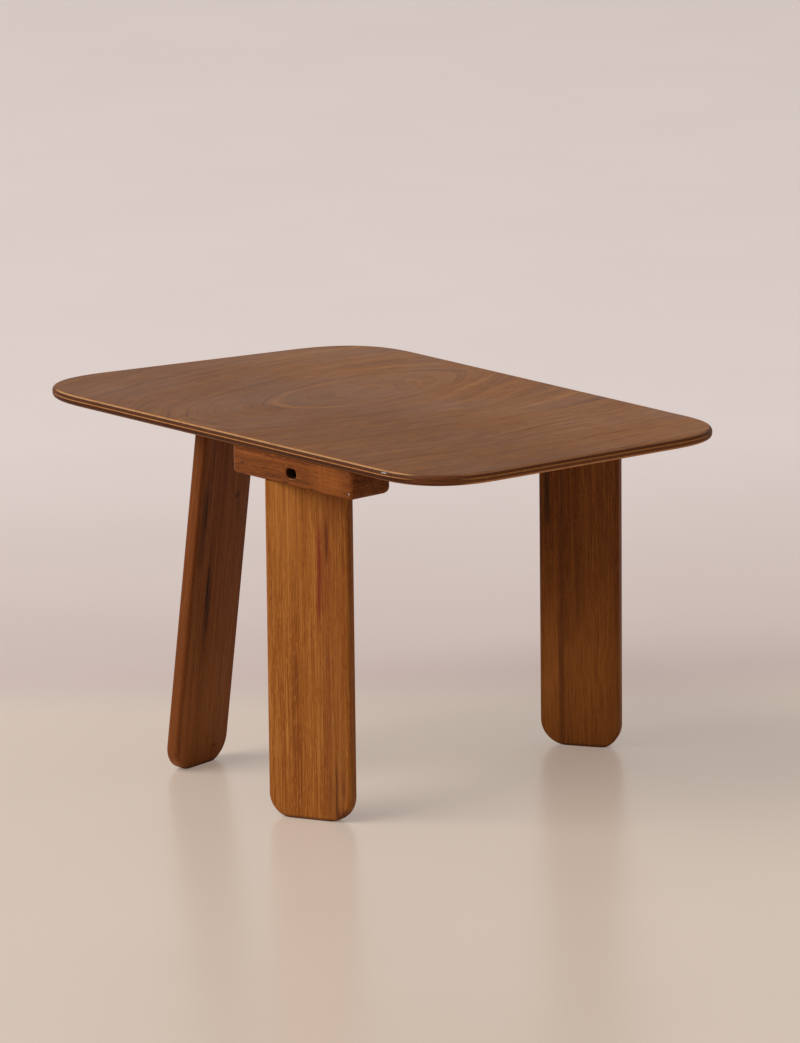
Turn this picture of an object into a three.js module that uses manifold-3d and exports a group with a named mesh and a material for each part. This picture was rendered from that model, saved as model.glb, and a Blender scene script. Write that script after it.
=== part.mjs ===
import * as THREE from "three";
import { mergeVertices } from "three/addons/utils/BufferGeometryUtils.js";
import Module from "manifold-3d";

// Low table: a rounded plywood top on three splayed leg boards.
// Each leg ends in a tenon that stands in a cleat under the top, where a cross pin holds it.
// Millimetres, +Z up. X runs along the front side of the top, Y from front to back.
// The origin lies on the floor, under the middle of the table's length and depth.

// Top
const tableHeight = 400;
const frontSide = 697;
const backSide = 636;
const leftDepth = 417;
const rightDepth = 399;
const leftSlant = 98;
const frontLeftReach = 116;
const frontRightReach = 92;
const backRightReach = 91;
const backLeftReach = 97;
const cornerFullnessShare = 2.63;
const edgeRadius = 5;
const faceVeneerThickness = 1.8;
const upperCrossThickness = 2.6;
const middleCoreThickness = 1.6;
const lowerCrossThickness = 3.2;
const backingVeneerThickness = 2.8;

// Leg boards
const frontLegWidth = 97;
const backLegWidth = 90;
const leftLegWidth = 88.3;
const legThickness = 16;
const legEdgeRadius = 4;
const frontFootLeftRadius = 26;
const frontFootRightRadius = 27.9;
const backFootLeftRadius = 29;
const backFootRightRadius = 28.4;
const leftFootLeftRadius = 27.6;
const leftFootRightRadius = 30.7;
const frontFootLeftTrim = -0.2;
const frontFootRightTrim = 2;
const backFootTrim = 0.8;
const leftFootTrim = 1;
const tenonWidth = 30;
const tenonThickness = 12;

// Cleats under the top
const cleatLength = 197;
const cleatDepth = 53;
const cleatHeight = 30;
const lowCleatHeight = 18;
const cleatSetback = 3.2;
const cleatEndRadius = 6;
const cleatCornerRadius = 5;
const cleatFrontRadius = 2.5;
const cleatBackRadius = 8;
const mortiseShift = 4;

// Cross pins and screws
const pinHoleDiameter = 10;
const pinHoleShift = 3;
const pinHoleHeightShare = 0.437;
const pinRecess = 12;
const mouthLength = 17.4;
const mouthHeight = 10.9;
const mouthRadius = 5.35;
const screwDiameter = 4;
const screwHeadDiameter = 8;
const screwHeadHeight = 2.6;
const screwTipLength = 5;
const screwBite = 7.2;
const screwSink = 0.5;
const screwSlotWidth = 1.2;
const screwSlotDepth = 1.3;
const screwEndDistance = 24;

// Places of the legs, from the front left corner of the sides, and how far each foot stands out
const frontLegAlong = 464.5;
const frontLegSplayX = 20.9;
const frontLegSplayY = -21.1;
const backLegAlong = 507;
const backLegSplayX = -43.6;
const backLegSplayY = 35.3;
const leftLegAlong = 264.6;
const leftLegIn = 80.6;
const leftLegSplayX = -37.3;
const leftLegSplayY = -25.1;
const frontLegTurn = THREE.MathUtils.degToRad(24.7);
const backLegTurn = THREE.MathUtils.degToRad(31.6);
const leftLegTurn = THREE.MathUtils.degToRad(102.1);

// Clearances
const fitGap = 0.3;
const overrun = 20;
const leastRingShare = 0.01;

// Roundness
const cornerSteps = 18;
const edgeSteps = 5;
const bevelSteps = 4;
const arcSteps = 8;
const boreSides = 28;

// Derived sizes
const upperThickness = faceVeneerThickness + upperCrossThickness;
const lowerThickness = lowerCrossThickness + backingVeneerThickness;
const panelThickness = upperThickness + middleCoreThickness + lowerThickness;
const panelUnderside = tableHeight - panelThickness;
const pinDiameter = pinHoleDiameter - 2 * fitGap;

const wasm = await Module();
wasm.setup();

// Solids and their cuts

function toSolid(geometry) {
  const bare = geometry.clone();
  bare.deleteAttribute("normal");
  bare.deleteAttribute("uv");
  const merged = mergeVertices(bare);
  const vertProperties = new Float32Array(merged.attributes.position.array);
  const triVerts = new Uint32Array(merged.index.array);
  return new wasm.Manifold(new wasm.Mesh({ numProp: 3, vertProperties, triVerts }));
}

function toGeometry(solid) {
  const mesh = solid.getMesh();
  const geometry = new THREE.BufferGeometry();
  const places = new Float32Array((mesh.vertProperties.length / mesh.numProp) * 3);
  for (let i = 0; i < places.length / 3; i++) {
    for (let axis = 0; axis < 3; axis++) places[3 * i + axis] = mesh.vertProperties[mesh.numProp * i + axis];
  }
  geometry.setAttribute("position", new THREE.BufferAttribute(places, 3));
  geometry.setIndex(new THREE.BufferAttribute(new Uint32Array(mesh.triVerts), 1));
  geometry.computeVertexNormals();
  return geometry;
}

// A level block between two heights that covers the whole table
function levelBlock(low, high) {
  const side = 2 * (frontSide + leftDepth);
  return toSolid(new THREE.BoxGeometry(side, side, high - low).translate(0, 0, (low + high) / 2));
}

// A closed outline with one radius for each corner, counter-clockwise from the lower left
function roundedShape(left, right, bottom, top, radii) {
  const [r0, r1, r2, r3] = radii;
  const shape = new THREE.Shape();
  shape.moveTo(left + r0, bottom);
  shape.lineTo(right - r1, bottom);
  if (r1 > 0) shape.absarc(right - r1, bottom + r1, r1, -Math.PI / 2, 0, false);
  shape.lineTo(right, top - r2);
  if (r2 > 0) shape.absarc(right - r2, top - r2, r2, 0, Math.PI / 2, false);
  shape.lineTo(left + r3, top);
  if (r3 > 0) shape.absarc(left + r3, top - r3, r3, Math.PI / 2, Math.PI, false);
  shape.lineTo(left, bottom + r0);
  if (r0 > 0) shape.absarc(left + r0, bottom + r0, r0, Math.PI, 1.5 * Math.PI, false);
  return shape;
}

// Outline of the top: four sides with full, rounded corners

const frontLeft = new THREE.Vector2(0, 0);
const frontRight = new THREE.Vector2(frontSide, 0);
const backRight = new THREE.Vector2(leftSlant + backSide, rightDepth);
const backLeft = new THREE.Vector2(leftSlant, leftDepth);
const corners = [
  { at: frontLeft, reach: frontLeftReach },
  { at: frontRight, reach: frontRightReach },
  { at: backRight, reach: backRightReach },
  { at: backLeft, reach: backLeftReach },
];

function topOutline() {
  const points = [];
  corners.forEach(({ at, reach }, i) => {
    const before = corners[(i + 3) % 4].at.clone().sub(at).normalize();
    const after = corners[(i + 1) % 4].at.clone().sub(at).normalize();
    for (let step = 0; step <= cornerSteps; step++) {
      const angle = (0.5 * Math.PI * step) / cornerSteps;
      const alongBefore = reach * (1 - Math.sin(angle) ** (2 / cornerFullnessShare));
      const alongAfter = reach * (1 - Math.cos(angle) ** (2 / cornerFullnessShare));
      points.push(at.clone().addScaledVector(before, alongBefore).addScaledVector(after, alongAfter));
    }
  });
  return points;
}

const outline = topOutline();

// The outline drawn in by one distance all round
function insetOutline(distance) {
  return outline.map((point, i) => {
    const previous = outline[(i + outline.length - 1) % outline.length];
    const next = outline[(i + 1) % outline.length];
    const along = next.clone().sub(previous).normalize();
    return new THREE.Vector2(point.x - along.y * distance, point.y + along.x * distance);
  });
}

// How far the rounded edge of the top is drawn in at a height
function edgeInset(height) {
  const fromFace = Math.min(tableHeight - height, height - panelUnderside);
  if (fromFace >= edgeRadius) return 0;
  const rise = edgeRadius - fromFace;
  return edgeRadius - Math.sqrt(Math.max(0, edgeRadius * edgeRadius - rise * rise));
}

// Heights of the rings of one ply: its two faces, and the steps of the rounded edges between them
function plyHeights(low, high) {
  const heights = [low, high];
  for (let step = 0; step <= edgeSteps; step++) {
    const fall = edgeRadius * (1 - Math.cos((0.5 * Math.PI * step) / edgeSteps));
    heights.push(tableHeight - fall, panelUnderside + fall);
  }
  const inside = heights.filter((height) => height >= low && height <= high).sort((a, b) => a - b);
  const least = edgeRadius * leastRingShare;
  return inside.filter((height, i) => i === 0 || height === high || height - inside[i - 1] > least);
}

function plyGeometry(low, high) {
  const heights = plyHeights(low, high);
  const places = [];
  const faces = [];
  const count = outline.length;
  heights.forEach((height) => {
    insetOutline(edgeInset(height)).forEach((point) => places.push(point.x, point.y, height));
  });
  for (let ring = 0; ring < heights.length - 1; ring++) {
    for (let i = 0; i < count; i++) {
      const a = ring * count + i;
      const b = ring * count + ((i + 1) % count);
      faces.push(a, b, b + count, a, b + count, a + count);
    }
  }
  const lastRing = (heights.length - 1) * count;
  THREE.ShapeUtils.triangulateShape(outline, []).forEach(([a, b, c]) => {
    faces.push(a, c, b);
    faces.push(lastRing + a, lastRing + b, lastRing + c);
  });
  const geometry = new THREE.BufferGeometry();
  geometry.setAttribute("position", new THREE.Float32BufferAttribute(places, 3));
  geometry.setIndex(faces);
  return geometry;
}

// Where each leg and its cleat stand

const backDirection = backRight.clone().sub(backLeft).normalize();
const backInward = new THREE.Vector2(backDirection.y, -backDirection.x);
const alongBackSide = (backLegAlong - leftSlant) / backDirection.x;
const backEdgePoint = backLeft.clone().addScaledVector(backDirection, alongBackSide);
const edgeToMiddle = cleatSetback + cleatDepth / 2;

const stations = [
  {
    name: "front",
    height: cleatHeight,
    hole: new THREE.Vector2(frontLegAlong, edgeToMiddle),
    cleatTurn: 0,
    splay: new THREE.Vector2(frontLegSplayX, frontLegSplayY),
    legTurn: frontLegTurn,
    legWidth: frontLegWidth,
    footRadii: [frontFootLeftRadius, frontFootRightRadius],
    footTrims: [frontFootLeftTrim, frontFootRightTrim],
    straddles: false,
    wideMouth: true,
  },
  {
    name: "back",
    height: cleatHeight,
    hole: backEdgePoint.clone().addScaledVector(backInward, edgeToMiddle),
    cleatTurn: Math.PI + backDirection.angle(),
    splay: new THREE.Vector2(backLegSplayX, backLegSplayY),
    legTurn: backLegTurn,
    legWidth: backLegWidth,
    footRadii: [backFootLeftRadius, backFootRightRadius],
    footTrims: [backFootTrim, backFootTrim],
    straddles: false,
    wideMouth: true,
  },
  {
    name: "left",
    height: lowCleatHeight,
    hole: new THREE.Vector2(leftLegAlong, leftLegIn),
    cleatTurn: 0,
    splay: new THREE.Vector2(leftLegSplayX, leftLegSplayY),
    legTurn: leftLegTurn,
    legWidth: leftLegWidth,
    footRadii: [leftFootLeftRadius, leftFootRightRadius],
    footTrims: [leftFootTrim, leftFootTrim],
    straddles: true,
    wideMouth: false,
  },
];

// The leaning frame of a leg: its foot on the floor, its width across, its thickness, and its axis upwards
function legFrame(station) {
  const holeHeight = panelUnderside - station.height / 2;
  const axis = new THREE.Vector3(-station.splay.x, -station.splay.y, holeHeight).normalize();
  const level = new THREE.Vector3(Math.cos(station.legTurn), Math.sin(station.legTurn), 0);
  const across = level.addScaledVector(axis, -level.dot(axis)).normalize();
  const through = new THREE.Vector3().crossVectors(axis, across);
  const foot = new THREE.Vector3(station.hole.x + station.splay.x, station.hole.y + station.splay.y, 0);
  return new THREE.Matrix4().makeBasis(across, through, axis).setPosition(foot);
}

// A leg: a board with eased edges and two round corners, a level foot, a shoulder and a tenon.
// A leg that straddles its cleat runs up to the panel on both sides of it.

// The outline of a board. Each lower corner has its own radius and its own depth below the floor.
function boardShape({ legWidth, footRadii, footTrims }) {
  const half = legWidth / 2;
  const length = tableHeight + overrun;
  const [leftRadius, rightRadius] = footRadii;
  const [leftTrim, rightTrim] = footTrims;
  const shape = new THREE.Shape();
  shape.moveTo(leftRadius - half, -leftTrim);
  shape.lineTo(half - rightRadius, -rightTrim);
  shape.absarc(half - rightRadius, rightRadius - rightTrim, rightRadius, -Math.PI / 2, 0, false);
  shape.lineTo(half, length);
  shape.lineTo(-half, length);
  shape.lineTo(-half, leftRadius - leftTrim);
  shape.absarc(leftRadius - half, leftRadius - leftTrim, leftRadius, Math.PI, 1.5 * Math.PI, false);
  return shape;
}

function boardGeometry(station) {
  const shape = boardShape(station);
  const depth = legThickness - 2 * legEdgeRadius;
  const board = new THREE.ExtrudeGeometry(shape, {
    depth,
    curveSegments: arcSteps,
    bevelEnabled: true,
    bevelThickness: legEdgeRadius,
    bevelSize: legEdgeRadius,
    bevelOffset: -legEdgeRadius,
    bevelSegments: bevelSteps,
  });
  return board.translate(0, 0, -depth / 2).rotateX(Math.PI / 2);
}

function tenonGeometry(gap) {
  const length = tableHeight + overrun;
  const tenon = new THREE.BoxGeometry(tenonWidth + 2 * gap, tenonThickness + 2 * gap, length);
  return tenon.translate(0, 0, length / 2);
}

const alongCleat = (station) => new THREE.Vector2(Math.cos(station.cleatTurn), Math.sin(station.cleatTurn));

// The place of a cleat's cross hole, a little off the middle of the leg and of the cleat's height
function crossHolePlace(station) {
  const place = station.hole.clone().addScaledVector(alongCleat(station), pinHoleShift);
  const height = panelUnderside - station.height * (1 - pinHoleHeightShare);
  return [place.x, place.y, height];
}

function crossHole(station, diameter, length) {
  const hole = new THREE.CylinderGeometry(diameter / 2, diameter / 2, length, boreSides);
  return hole.rotateZ(station.cleatTurn).translate(...crossHolePlace(station));
}

// The wide mouth of a cross hole, from the end of the pin to the outer face of the cleat
function holeMouth(station) {
  const radii = Array(4).fill(mouthRadius);
  const shape = roundedShape(-mouthLength / 2, mouthLength / 2, -mouthHeight / 2, mouthHeight / 2, radii);
  const depth = pinRecess - fitGap + overrun;
  const mouth = new THREE.ExtrudeGeometry(shape, { depth, bevelEnabled: false, curveSegments: arcSteps });
  mouth.rotateX(Math.PI / 2).translate(0, pinRecess - fitGap - cleatDepth / 2, 0);
  return mouth.rotateZ(station.cleatTurn).translate(...crossHolePlace(station));
}

function legGeometry(station) {
  const frame = legFrame(station);
  const shoulder = panelUnderside - station.height - fitGap;
  const blank = toSolid(boardGeometry(station).applyMatrix4(frame));
  const boardTop = station.straddles ? panelUnderside - fitGap : shoulder;
  const board = blank.intersect(levelBlock(0, boardTop)).subtract(cleatRoom(station));
  const tenonTop = levelBlock(shoulder - legThickness, panelUnderside - fitGap);
  const tenon = toSolid(tenonGeometry(0).applyMatrix4(frame)).intersect(tenonTop);
  const hole = toSolid(crossHole(station, pinHoleDiameter, cleatDepth + overrun));
  return toGeometry(board.add(tenon).subtract(hole));
}

// A cleat: a block with round lower corners, a mortise for the tenon, a cross hole and two screw holes.
// The mouth of the cross hole is wide where the cleat is high.

const screwLength = (station) => station.height - screwSink + screwBite;

// Half outline of a screw, from the middle of its head to its tip, upwards, with a gap all round
function screwProfile(station, gap, headExtra) {
  const shank = screwDiameter / 2 + gap;
  const length = screwLength(station) + (gap > 0 ? fitGap : 0);
  return [
    new THREE.Vector2(0, -headExtra),
    new THREE.Vector2(screwHeadDiameter / 2 + gap, -headExtra),
    new THREE.Vector2(screwHeadDiameter / 2 + gap, 0),
    new THREE.Vector2(shank, screwHeadHeight),
    new THREE.Vector2(shank, gap > 0 ? length : length - screwTipLength),
    new THREE.Vector2(0, length),
  ];
}

const cleatMiddle = (station) => station.hole.clone().addScaledVector(alongCleat(station), mortiseShift);

// The room that a leg leaves for its cleat, up to the panel
function cleatRoom(station) {
  const height = station.height + fitGap + overrun;
  const room = new THREE.BoxGeometry(cleatLength + 2 * fitGap, cleatDepth + 2 * fitGap, height);
  const place = cleatMiddle(station);
  const middleHeight = panelUnderside - station.height - fitGap + height / 2;
  return toSolid(room.rotateZ(station.cleatTurn).translate(place.x, place.y, middleHeight));
}

function screwPlaces(station) {
  const reach = cleatLength / 2 - screwEndDistance;
  return [-reach, reach].map((shift) => cleatMiddle(station).addScaledVector(alongCleat(station), shift));
}

function screwSeat(station, place) {
  const seat = new THREE.LatheGeometry(screwProfile(station, fitGap, overrun), boreSides);
  const head = panelUnderside - station.height + screwSink;
  return seat.rotateX(Math.PI / 2).translate(place.x, place.y, head);
}

function cleatGeometry(station) {
  const half = cleatLength / 2;
  const deep = cleatDepth / 2;
  const plan = new THREE.ExtrudeGeometry(
    roundedShape(-half, half, -deep, deep, Array(4).fill(cleatCornerRadius)),
    { depth: station.height, bevelEnabled: false, curveSegments: arcSteps },
  );
  const side = new THREE.ExtrudeGeometry(
    roundedShape(-half, half, 0, station.height, [cleatEndRadius, cleatEndRadius, 0, 0]),
    { depth: cleatDepth, bevelEnabled: false, curveSegments: arcSteps },
  );
  const end = new THREE.ExtrudeGeometry(
    roundedShape(-deep, deep, 0, station.height, [cleatFrontRadius, cleatBackRadius, 0, 0]),
    { depth: cleatLength, bevelEnabled: false, curveSegments: arcSteps },
  );
  side.translate(0, 0, -deep).rotateX(Math.PI / 2);
  end.translate(0, 0, -half).rotateX(Math.PI / 2).rotateZ(Math.PI / 2);
  const place = cleatMiddle(station);
  const turned = new THREE.Matrix4().makeRotationZ(station.cleatTurn);
  turned.setPosition(place.x, place.y, panelUnderside - station.height);
  let block = toSolid(plan.applyMatrix4(turned)).intersect(toSolid(side.applyMatrix4(turned)));
  block = block.intersect(toSolid(end.applyMatrix4(turned)));
  block = block.subtract(toSolid(tenonGeometry(fitGap).applyMatrix4(legFrame(station))));
  block = block.subtract(toSolid(crossHole(station, pinHoleDiameter, cleatDepth + overrun)));
  if (station.wideMouth) block = block.subtract(toSolid(holeMouth(station)));
  for (const screw of screwPlaces(station)) block = block.subtract(toSolid(screwSeat(station, screw)));
  return toGeometry(block);
}

function pinGeometry(station) {
  return crossHole(station, pinDiameter, cleatDepth - 2 * pinRecess);
}

// A countersunk screw with a straight slot, standing upwards from its head
function screwGeometry(station) {
  const body = toSolid(new THREE.LatheGeometry(screwProfile(station, 0, 0), boreSides).rotateX(Math.PI / 2));
  const slot = new THREE.BoxGeometry(2 * screwHeadDiameter, screwSlotWidth, 2 * screwSlotDepth);
  return toGeometry(body.subtract(toSolid(slot)));
}

// Finishes

function wood(name, color, roughness) {
  return new THREE.MeshStandardMaterial({ name, color, roughness, metalness: 0 });
}

const faceVeneerWood = wood("face_veneer", 0x6f5646, 0.5);
const longPlyWood = wood("long_ply", 0xb98a4e, 0.6);
const crossPlyWood = wood("cross_ply", 0x5a3d2a, 0.7);
const legWood = wood("leg_wood", 0x8a5a2b, 0.55);
const cleatWood = wood("cleat_wood", 0x7d4523, 0.55);
const pinWood = wood("pin_wood", 0x9a7446, 0.65);
const screwSteel = new THREE.MeshStandardMaterial({
  name: "screw_steel",
  color: 0xb9b9b4,
  roughness: 0.35,
  metalness: 1,
});

// Assembly

const table = new THREE.Group();
const pieces = new THREE.Group();
table.add(pieces);

function addPiece(name, geometry, material) {
  const piece = new THREE.Mesh(geometry, material);
  piece.name = name;
  pieces.add(piece);
  return piece;
}

const plies = [
  { name: "top_backing_veneer", thickness: backingVeneerThickness, material: longPlyWood },
  { name: "top_lower_cross_core", thickness: lowerCrossThickness, material: crossPlyWood },
  { name: "top_middle_core", thickness: middleCoreThickness, material: longPlyWood },
  { name: "top_upper_cross_core", thickness: upperCrossThickness, material: crossPlyWood },
  { name: "top_face_veneer", thickness: faceVeneerThickness, material: faceVeneerWood },
];

let plyLow = panelUnderside;
for (const { name, thickness, material } of plies) {
  const plyHigh = name === "top_face_veneer" ? tableHeight : plyLow + thickness;
  let ply = plyGeometry(plyLow, plyHigh);
  if (plyLow < panelUnderside + screwBite) {
    let solid = toSolid(ply);
    for (const station of stations) {
      for (const screw of screwPlaces(station)) solid = solid.subtract(toSolid(screwSeat(station, screw)));
    }
    ply = toGeometry(solid);
  }
  addPiece(name, ply, material);
  plyLow = plyHigh;
}

for (const station of stations) {
  addPiece(`${station.name}_leg`, legGeometry(station), legWood);
  addPiece(`${station.name}_cleat`, cleatGeometry(station), cleatWood);
  addPiece(`${station.name}_pin`, pinGeometry(station), pinWood);
  screwPlaces(station).forEach((place, i) => {
    const screw = addPiece(`${station.name}_screw_${i + 1}`, screwGeometry(station), screwSteel);
    screw.position.set(place.x, place.y, panelUnderside - station.height + screwSink);
    screw.rotation.z = station.cleatTurn;
  });
}

// The middle of all that stands on the floor comes over the origin
const middle = new THREE.Box3().setFromObject(pieces).getCenter(new THREE.Vector3());
pieces.position.set(-middle.x, -middle.y, 0);

export default table;
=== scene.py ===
import math

import bmesh
import bpy
from mathutils import Matrix, Vector


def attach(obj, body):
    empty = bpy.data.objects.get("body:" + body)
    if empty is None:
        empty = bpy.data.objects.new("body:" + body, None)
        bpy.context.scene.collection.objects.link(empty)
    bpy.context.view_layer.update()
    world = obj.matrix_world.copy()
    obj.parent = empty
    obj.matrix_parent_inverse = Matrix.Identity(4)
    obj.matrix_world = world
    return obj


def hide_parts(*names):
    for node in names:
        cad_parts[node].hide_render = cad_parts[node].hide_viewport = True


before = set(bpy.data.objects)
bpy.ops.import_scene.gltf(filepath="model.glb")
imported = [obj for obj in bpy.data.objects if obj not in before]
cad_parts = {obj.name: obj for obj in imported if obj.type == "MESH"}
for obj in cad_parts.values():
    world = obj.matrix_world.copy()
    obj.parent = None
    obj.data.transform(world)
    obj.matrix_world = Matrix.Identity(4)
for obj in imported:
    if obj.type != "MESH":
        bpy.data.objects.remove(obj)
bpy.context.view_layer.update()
bpy.ops.object.select_all(action="DESELECT")

# Camera
# A long lens stands seven metres away, a little above the table, and leans by one degree.
# It looks at the near right corner, so that the front side and the right side both show.

camera_place = Vector((5.3103, -4.4807, 1.8964))
camera_heading = math.radians(139.713)
camera_drop = 0.230
camera_roll = -0.019
camera_lens = 228.1
sensor_side = 36.0

level_ahead = Vector((math.cos(camera_heading), math.sin(camera_heading), 0))
ahead = level_ahead * math.cos(camera_drop) - Vector((0, 0, math.sin(camera_drop)))
across = Vector((level_ahead.y, -level_ahead.x, 0))
above = across.cross(ahead)
camera_side = across * math.cos(camera_roll) + above * math.sin(camera_roll)
camera_up = above * math.cos(camera_roll) - across * math.sin(camera_roll)
camera_turn = Matrix((camera_side, camera_up, -ahead)).transposed().to_4x4()

camera_data = bpy.data.cameras.new("camera")
camera_data.lens = camera_lens
camera_data.sensor_width = sensor_side
camera_data.clip_end = 100
camera = bpy.data.objects.new("camera", camera_data)
camera.matrix_world = Matrix.Translation(camera_place) @ camera_turn
scene = bpy.context.scene
scene.collection.objects.link(camera)
scene.camera = camera
scene.view_settings.view_transform = "Standard"

# Floor and light
# A pale, plain studio floor, slightly polished and cream under the table, dull and pinkish behind it.
# One wide soft lamp stands to the left of the camera, and the pale room fills the shade.


def feed(node, wires):
    """Links each output to an input of the node, or sets a plain value there."""
    for socket, source in wires.items():
        if isinstance(source, bpy.types.NodeSocket):
            node.id_data.links.new(source, node.inputs[socket])
        else:
            node.inputs[socket].default_value = source


def put(tree, kind, wires=None, **settings):
    """A new node, with its settings and wires."""
    node = tree.nodes.new(kind)
    for name, value in settings.items():
        setattr(node, name, value)
    feed(node, wires or {})
    return node


def object_place(tree):
    return put(tree, "ShaderNodeTexCoord").outputs["Object"]


def between(tree, share, first, second):
    return put(tree, "ShaderNodeMix", {0: share, 2: first, 3: second}).outputs[0]


def blend(tree, share, first, second, how="MIX"):
    """One colour over another, by a share from 0 to 1."""
    wires = {0: share, 6: first, 7: second}
    return put(tree, "ShaderNodeMix", wires, data_type="RGBA", blend_type=how).outputs[2]


def gray(tree, value):
    return put(tree, "ShaderNodeCombineColor", {0: value, 1: value, 2: value}).outputs[0]


def ease(tree, value, low, high, at_low=0.0, at_high=1.0):
    """A smooth step from one value to another."""
    wires = {"Value": value, "From Min": low, "From Max": high, "To Min": at_low, "To Max": at_high}
    return put(tree, "ShaderNodeMapRange", wires, interpolation_type="SMOOTHSTEP").outputs[0]


def stretch(tree, vector, scale):
    return put(tree, "ShaderNodeVectorMath", {0: vector, 1: scale}, operation="MULTIPLY").outputs[0]


def mottle(tree, vector, scale=(1, 1, 1), detail=2.0, roughness=0.5):
    """Cloudy noise round one half, with a scale for each axis."""
    place = stretch(tree, vector, scale)
    wires = {"Vector": place, "Scale": 1.0, "Detail": detail, "Roughness": roughness}
    return put(tree, "ShaderNodeTexNoise", wires).outputs["Fac"]


def new_material(name, metallic=0.0):
    material = bpy.data.materials.new(name)
    material.use_nodes = True
    shader = material.node_tree.nodes["Principled BSDF"]
    feed(shader, {"Metallic": metallic})
    return material, material.node_tree, shader


floor_side = 60.0
floor_near = (0.70, 0.58, 0.48, 1)
floor_far = (0.70, 0.61, 0.57, 1)
floor_cloud = (0.5, 0.41, 0.34, 1)
cloud_strength = 0.12
roughness_near = 0.26
roughness_far = 0.5
seen_share = 0.62
glow_near = (0.215, 0.175, 0.148, 1)
glow_behind = (0.168, 0.118, 0.110, 1)
glow_far = (0.300, 0.255, 0.252, 1)
floor_change_start = 0.20
floor_change_end = 0.42
far_end = 1.6

bpy.ops.mesh.primitive_plane_add(size=floor_side)
floor = bpy.context.object
floor.name = "floor"
floor_material, tree, shader = new_material("floor_finish")
place = object_place(tree)
along_view = put(tree, "ShaderNodeVectorMath", {0: place, 1: level_ahead}, operation="DOT_PRODUCT")
behind = along_view.outputs["Value"]
change = ease(tree, behind, floor_change_start, floor_change_end)
cloud = ease(tree, mottle(tree, place, (3, 3, 3), detail=3.0), 0.3, 0.7, 0.0, cloud_strength)
cloudy = blend(tree, cloud, blend(tree, change, floor_near, floor_far), floor_cloud)
seen = put(tree, "ShaderNodeLightPath").outputs["Is Camera Ray"]
seen_dim = gray(tree, between(tree, seen, 1.0, seen_share))
far_wires = {"Value": behind, "From Min": floor_change_end, "From Max": far_end}
far_share = put(tree, "ShaderNodeMapRange", far_wires).outputs[0]
glow = blend(tree, change, glow_near, blend(tree, far_share, glow_behind, glow_far))
roughness = ease(tree, behind, floor_change_start, floor_change_end, roughness_near, roughness_far)
feed(shader, {"Base Color": blend(tree, 1.0, cloudy, seen_dim, "MULTIPLY"), "Roughness": roughness})
feed(shader, {"Emission Color": glow, "Emission Strength": seen})
floor.data.materials.append(floor_material)

lamp_place = Vector((-3.6, -7.4, 7.2))
lamp_target = Vector((0.0, 0.0, 0.25))
lamp_side = 8.0
lamp_power = 1050.0
lamp_color = (1.0, 0.98, 0.95)
room_color = (0.50, 0.485, 0.47, 1)
seen_room_color = (0.68, 0.58, 0.55, 1)

lamp_data = bpy.data.lights.new("left_lamp", "AREA")
lamp_data.size = lamp_side
lamp_data.energy = lamp_power
lamp_data.color = lamp_color
lamp = bpy.data.objects.new("left_lamp", lamp_data)
lamp.location = lamp_place
lamp.rotation_euler = (lamp_target - lamp_place).to_track_quat("-Z", "Y").to_euler()
scene.collection.objects.link(lamp)

room = bpy.data.worlds.new("room")
room.use_nodes = True
scene.world = room
tree = room.node_tree
seen = put(tree, "ShaderNodeLightPath").outputs["Is Camera Ray"]
feed(tree.nodes["Background"], {"Color": blend(tree, seen, room_color, seen_room_color)})

# Table top
# A panel of five plies, cut to a rounded four-sided outline and rounded over along its edges.
# Its edge is bare: pale and dark plies in turn along the sides, all of them brown round the tight corners.

top_height = 0.400
ply_thicknesses = [
    ("top_backing_veneer", 0.0028, "long_ply"),
    ("top_lower_cross_core", 0.0032, "cross_ply"),
    ("top_middle_core", 0.0016, "long_ply"),
    ("top_upper_cross_core", 0.0026, "cross_ply"),
    ("top_face_veneer", 0.0018, "face_veneer"),
]
panel_thickness = sum(thickness for name, thickness, finish in ply_thicknesses)
panel_underside = top_height - panel_thickness
top_corners = [
    ((-0.373413, -0.210686), 0.116),
    ((0.323587, -0.210686), 0.092),
    ((0.360587, 0.188314), 0.091),
    ((-0.275413, 0.206314), 0.097),
]
corner_steps = 28
corner_profile = 0.5903
edge_radius = 0.005
edge_steps = 8
smooth_angle = math.radians(30)
hair = 0.00001


def choose(piece):
    """Makes a piece the only one that is selected."""
    bpy.ops.object.select_all(action="DESELECT")
    bpy.context.view_layer.objects.active = piece
    piece.select_set(True)


def shape_mode(piece, kind):
    """Opens a piece in edit mode with vertices, edges or faces to pick."""
    choose(piece)
    bpy.ops.object.mode_set(mode="EDIT")
    bpy.ops.mesh.select_mode(type=kind)
    bpy.ops.mesh.select_all(action="DESELECT")


def object_mode():
    bpy.ops.object.mode_set(mode="OBJECT")
    bpy.ops.object.select_all(action="DESELECT")


def pick(piece, kind, test):
    """Selects the vertices, edges or faces that pass a test on their place or direction."""
    mesh = bmesh.from_edit_mesh(piece.data)
    for part in getattr(mesh, kind):
        if test(part):
            part.select_set(True)
    bmesh.update_edit_mesh(piece.data)


def ends_near(edge, axis, value):
    return all(abs(vertex.co[axis] - value) < hair for vertex in edge.verts)


def ends_out(edge, axis, reach):
    """Both ends are as far out as the reach, on the same side of the middle."""
    return ends_near(edge, axis, reach) or ends_near(edge, axis, -reach)


def spans(edge, axis):
    """One end is further along the axis than the other."""
    return abs(edge.verts[0].co[axis] - edge.verts[1].co[axis]) > hair


def round_edges(piece, radius, steps, test):
    shape_mode(piece, "EDGE")
    pick(piece, "edges", test)
    bpy.ops.mesh.bevel(affect="EDGES", offset_type="OFFSET", offset=radius, segments=steps, profile=0.5)
    object_mode()


def pull_up(height):
    """Draws the picked faces out along Z, with new sides."""
    bpy.ops.mesh.extrude_region_move(TRANSFORM_OT_translate={"value": (0, 0, height)})


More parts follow.
